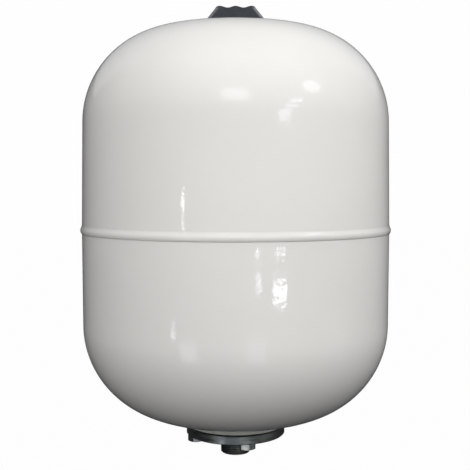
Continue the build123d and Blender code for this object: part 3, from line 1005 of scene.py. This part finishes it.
def square_radius(half, corner, angle):
    """Radius of a rounded square in a direction."""
    folded = abs((angle + math.pi / 4) % (math.pi / 2) - math.pi / 4)
    if half * math.tan(folded) <= half - corner:
        return half / math.cos(folded)
    spread = math.sqrt(2) * (half - corner)
    off = math.pi / 4 - folded
    return spread * math.cos(off) + math.sqrt(max(corner**2 - (spread * math.sin(off)) ** 2, 0))


def rim_height(x, y):
    """The wavy rim: two dips on every side."""
    along = min(abs(x), abs(y))
    if along > 2 * cover_dip_offset:
        return rim_top
    return rim_top - cover_dip_depth * (1 - math.cos(math.pi * along / cover_dip_offset)) / 2


def skirt_height(x, y):
    """The skirt follows the vessel's crown."""
    return upper_crown_centre + math.sqrt((crown_radius + cover_gap) ** 2 - x * x - y * y)


directions = [2 * math.pi * k / COVER_AROUND for k in range(COVER_AROUND)]


def wall_ring(share, inset, rise=0.0):
    """A ring up the slanted wall: share 0 at the skirt and 1 at the rim, set in by the inset."""
    ring = []
    for angle in directions:
        height = cover_bottom + (rim_top - cover_bottom) * share
        for _ in range(5):
            lean = (height - cover_bottom) / (rim_top - cover_bottom)
            half = cover_base_half + (cover_rim_half - cover_base_half) * lean - inset
            corner = cover_corner + (cover_rim_corner - cover_corner) * lean - inset
            corner = max(corner, cover_least_corner)
            radius = square_radius(half, corner, angle)
            x, y = radius * math.cos(angle), radius * math.sin(angle)
            low, high = skirt_height(x, y), rim_height(x, y)
            height = low + (high - low) * share + rise
        ring.append((x, y, height))
    return ring


def flat_ring(half, corner, height):
    """A level ring, square or, where the corner equals the half width, round."""
    ring = []
    for angle in directions:
        radius = square_radius(half, corner, angle)
        ring.append((radius * math.cos(angle), radius * math.sin(angle), height))
    return ring


def pocket_ring(half, corner, share):
    """A ring down the upright inside of the rim: share 1 at the wavy rim, 0 at the plate."""
    ring = []
    for angle in directions:
        radius = square_radius(half, corner, angle)
        x, y = radius * math.cos(angle), radius * math.sin(angle)
        ring.append((x, y, plate_top + (rim_height(x, y) - plate_top) * share))
    return ring


def gusset(angle, start, end):
    """A rib under the plate, from the sleeve to the wall, with its lower edges chamfered."""
    along = Vector((math.cos(angle), math.sin(angle), 0))
    across = Vector((-math.sin(angle), math.cos(angle), 0)) * cover_rib / 2
    top = plate_bottom + cover_rib_overlap
    low = plate_bottom - cover_gusset_depth
    side_bottom = low + cover_rib_chamfer
    section = [(-1, top), (1, top), (1, side_bottom), (0.6, low), (-0.6, low), (-1, side_bottom)]
    rings = []
    for reach in (start, end):
        rings.append([along * reach + across * side + Vector((0, 0, height)) for side, height in section])
    verts, faces = loft(rings)
    count = len(section)
    return [tuple(v) for v in verts], [*faces, list(range(count)), list(range(count, 2 * count))]


def make_cover():
    """One closed skin: the sunk plate, the wavy rim, the slanted wall, and the plate's sleeve below."""
    pocket_half = cover_rim_half - cover_rim_wall
    pocket_corner = cover_rim_corner - cover_rim_wall
    quarter = [math.pi / 2 * k / 4 for k in range(5)]
    rounding = [(cover_edge * (1 - math.cos(turn)), cover_edge * (1 - math.sin(turn))) for turn in quarter]
    rings = [[(0, 0, plate_top)]]
    for share in (0.15, 0.4, 0.65, 0.85):
        rings.append(flat_ring(pocket_half * share, pocket_corner * share + 0.3 * MM, plate_top))
    rings += [flat_ring(pocket_half - rise, pocket_corner, plate_top + inset) for inset, rise in rounding]
    rings += [pocket_ring(pocket_half, pocket_corner, share) for share in (0.4, 0.6, 0.78)]
    rings += [wall_ring(1, cover_rim_wall - inset, -rise) for inset, rise in rounding]
    rings += [wall_ring(1, inset, -rise) for inset, rise in reversed(rounding)]
    rings += [wall_ring(1 - k / 16, 0) for k in range(1, 16)]
    rings += [wall_ring(0, inset, rise) for inset, rise in rounding]
    rings += [wall_ring(0, cover_wall - inset, rise) for inset, rise in reversed(rounding)]
    roof_share = (plate_bottom - cover_bottom) / (rim_top - cover_bottom)
    rings += [wall_ring(roof_share * k / 8, cover_wall) for k in range(1, 7)]
    roof_half = cover_base_half + (cover_rim_half - cover_base_half) * roof_share - cover_wall
    sleeve_outer = cover_sleeve_inner + cover_sleeve_wall
    rings.append(flat_ring(roof_half, cover_roof_corner, plate_bottom - cover_roof_edge))
    rings.append(flat_ring(roof_half - cover_roof_edge, cover_roof_corner + 0.2 * MM, plate_bottom))
    sleeve_bottom = recess_floor + boss_weld_leg + cover_sleeve_clearance
    sleeve = [
        (sleeve_outer + 2 * cover_sleeve_root, plate_bottom),
        (sleeve_outer, plate_bottom - cover_sleeve_root),
        (sleeve_outer, sleeve_bottom + cover_sleeve_chamfer),
        (sleeve_outer - cover_sleeve_chamfer, sleeve_bottom),
        (cover_sleeve_inner + cover_sleeve_chamfer, sleeve_bottom),
        (cover_sleeve_inner, sleeve_bottom + cover_sleeve_chamfer),
        (cover_sleeve_inner, plate_bottom),
    ]
    rings += [flat_ring(radius, radius, height) for radius, height in sleeve]
    rings.append([(0, 0, plate_bottom)])
    rib_start = sleeve_outer - 0.4 * MM
    rib_end = roof_half + 0.6 * MM
    ribs = [gusset(math.pi / 2 * k, rib_start, rib_end) for k in range(4)]
    new_piece("valve_cover_moulding", join(loft(rings), *ribs), "valve_cover", 34)


make_cover()


# ---------------------------- finishes and softened edges of the CAD nodes

# The width of the softened edges of each CAD node that stays
rounded_nodes = {
    "counter_flange": 0.35 * MM,
    "neck_ring": 0.4 * MM,
    "flange_liner": 0.15 * MM,
    "valve_boss": 0.2 * MM,
    "valve_core_body": 0.05 * MM,
    "valve_core_gasket": 0.04 * MM,
    "valve_core_seal": 0.05 * MM,
    "dust_cap_seal": 0.06 * MM,
}

for node, slot in node_slot.items():
    nodes[node].data.materials.clear()
    nodes[node].data.materials.append(finishes[slot])
for node, width in rounded_nodes.items():
    bevel = nodes[node].modifiers.new("soft_edges", "BEVEL")
    bevel.width = width
    bevel.segments = 3
    bevel.limit_method = "ANGLE"
    bevel.angle_limit = math.radians(40)
    bevel.harden_normals = True
    nodes[node].data.shade_smooth()


# ---------------------------- stage, camera and lights


def flat_white(name, level):
    """A pale surface that glows by itself."""
    material = bpy.data.materials.new(name)
    material.use_nodes = True
    tree = material.node_tree
    tree.nodes.clear()
    glow = tree.nodes.new("ShaderNodeEmission")
    glow.inputs["Color"].default_value = (level, level, level, 1)
    output = tree.nodes.new("ShaderNodeOutputMaterial")
    tree.links.new(glow.outputs[0], output.inputs["Surface"])
    return material


def stage_piece(name, shape, level):
    """A part of the stage that only the camera sees, so that it lights nothing."""
    mesh = bpy.data.meshes.new(name)
    mesh.from_pydata(shape[0], [], shape[1])
    mesh.materials.append(flat_white(name, level))
    piece = bpy.data.objects.new(name, mesh)
    bpy.context.scene.collection.objects.link(piece)
    piece.visible_diffuse = False
    piece.visible_glossy = False
    piece.visible_transmission = False
    piece.visible_shadow = False


def make_stage():
    floor_height = -0.12
    reach = 6.0
    corners = [(-reach, -reach), (reach, -reach), (reach, reach), (-reach, reach)]
    floor = [(x, y, floor_height) for x, y in corners]
    stage_piece("studio_floor", (floor, [(0, 1, 2, 3)]), 0.985)
    bow = arc((0, 0), reach, -math.pi / 2, math.pi / 2, 24)
    bow[0] = (0, -reach)
    bow[-1] = (0, reach)
    stage_piece("studio_backdrop", lathe(bow, 48, closed=False), 0.99)


def make_camera():
    """In front of the vessel, a little above its middle, and looking slightly down."""
    look_down = 0.0587
    camera_data = bpy.data.cameras.new("camera")
    camera_data.lens = 68.86
    camera_data.sensor_width = 36
    camera = bpy.data.objects.new("camera", camera_data)
    camera.location = (-0.0005, -0.8, 0.2426)
    camera.rotation_euler = (math.pi / 2 - look_down, 0, 0)
    bpy.context.scene.collection.objects.link(camera)
    bpy.context.scene.camera = camera


def area_light(name, azimuth, elevation, distance, width, height, power, aim):
    """An area light that points at a place; azimuth from the camera's side towards +X, in degrees."""
    turn, rise = math.radians(azimuth), math.radians(elevation)
    toward = Vector((math.sin(turn) * math.cos(rise), -math.cos(turn) * math.cos(rise), math.sin(rise)))
    data = bpy.data.lights.new(name, "AREA")
    data.shape = "RECTANGLE"
    data.size = width
    data.size_y = height
    data.energy = power
    lamp = bpy.data.objects.new(name, data)
    lamp.location = Vector(aim) + toward * distance
    lamp.rotation_euler = toward.to_track_quat("Z", "Y").to_euler()
    lamp.visible_camera = False
    bpy.context.scene.collection.objects.link(lamp)
    return lamp


def softbox(name, azimuth, elevation, width, height, power):
    """A large soft light around the vessel's middle, left out of reflections."""
    lamp = area_light(name, azimuth, elevation, 1.1, width, height, power, (0, 0, 0.2))
    lamp.visible_glossy = False


def card(name, azimuth, elevation, across, up, radiance, aim, round_shape=False):
    """Something bright that shows in reflections only; across and up are in degrees, seen from the aim."""
    distance = 3.0
    width = 2 * distance * math.tan(math.radians(across / 2))
    height = 2 * distance * math.tan(math.radians(up / 2))
    power = radiance * math.pi * width * height
    lamp = area_light(name, azimuth, elevation, distance, width, height, power, aim)
    lamp.visible_diffuse = False
    lamp.data.color = (0.94, 0.97, 1.0)
    if round_shape:
        lamp.data.shape = "ELLIPSE"


def make_softboxes():
    softbox("key", 15, 48, 1.2, 1.0, 4.6)
    softbox("front_fill", -10, 5, 1.4, 0.9, 6.5)
    softbox("top_fill", 0, 86, 1.0, 1.0, 3.9)
    softbox("right_front", 48, 25, 0.9, 0.9, 2.9)
    softbox("right_side", 80, 12, 0.9, 0.9, 2.4)
    softbox("right_edge", 108, 8, 0.8, 0.8, 2.6)
    softbox("left_front", -45, 24, 0.9, 0.9, 1.8)
    softbox("left_edge", -108, 8, 0.8, 0.8, 1.7)
    softbox("right_back", 140, 22, 0.9, 0.9, 3.4)
    softbox("left_back", -148, 22, 0.9, 0.9, 3.2)
    softbox("back_fill", 180, 12, 1.2, 0.9, 8.5)


def make_cards():
    """The window and the lamps that show as pale patches on the paint, and soft panels for the fittings."""
    shoulder, foot = (0, -0.125, 0.305), (0, -0.03, 0.015)
    card("window", -0.4, 24.6, 19, 13, 2.2, shoulder)
    card("round_lamp", 62, 30.5, 14, 13, 2.0, (0.058, -0.118, 0.314), round_shape=True)
    for azimuth, elevation in ((35, 7), (40.5, 12), (45, 17.5)):
        card(f"broken_lamp_{azimuth:.0f}", azimuth, elevation, 9.5, 3.6, 3.4, (0.042, -0.127, 0.298))
    card("left_lamp", -37.2, 0.25, 2.6, 0.7, 20, (-0.04, -0.129, 0.232))
    card("left_dot", -37.2, -1.3, 2.4, 0.25, 26, (-0.04, -0.129, 0.212))
    card("left_low_lamp", -45, -9.9, 3.0, 0.6, 7, (-0.047, -0.126, 0.13))
    card("front_lamp", 16, -6.9, 4.2, 0.9, 8, (0.017, -0.134, 0.165))
    card("front_dot", 15.7, -5.0, 3.6, 0.3, 14, (0.017, -0.134, 0.19))
    card("right_lamp", 31.5, -7.5, 10.5, 1.7, 9, (0.033, -0.131, 0.16))
    card("right_dash", 31.2, -4.8, 8.0, 0.25, 20, (0.033, -0.131, 0.191))
    card("bolt_card", -33.5, -16.5, 12, 16, 1.5, foot)
    card("flange_card", 15, -17, 13, 18, 1.0, foot)
    card("side_card", 75, -14, 22, 16, 0.25, foot)
    card("floor_glow", 0, -25, 90, 50, 0.05, foot)
    card("back_wall", 180, 46, 100, 56, 0.35, shoulder)


def make_world():
    world = bpy.data.worlds.new("studio")
    world.use_nodes = True
    world.node_tree.nodes["Background"].inputs["Color"].default_value = (0.03, 0.031, 0.033, 1)
    bpy.context.scene.world = world
    bpy.context.scene.view_settings.view_transform = "Standard"


make_stage()
make_camera()
make_softboxes()
make_cards()
make_world()
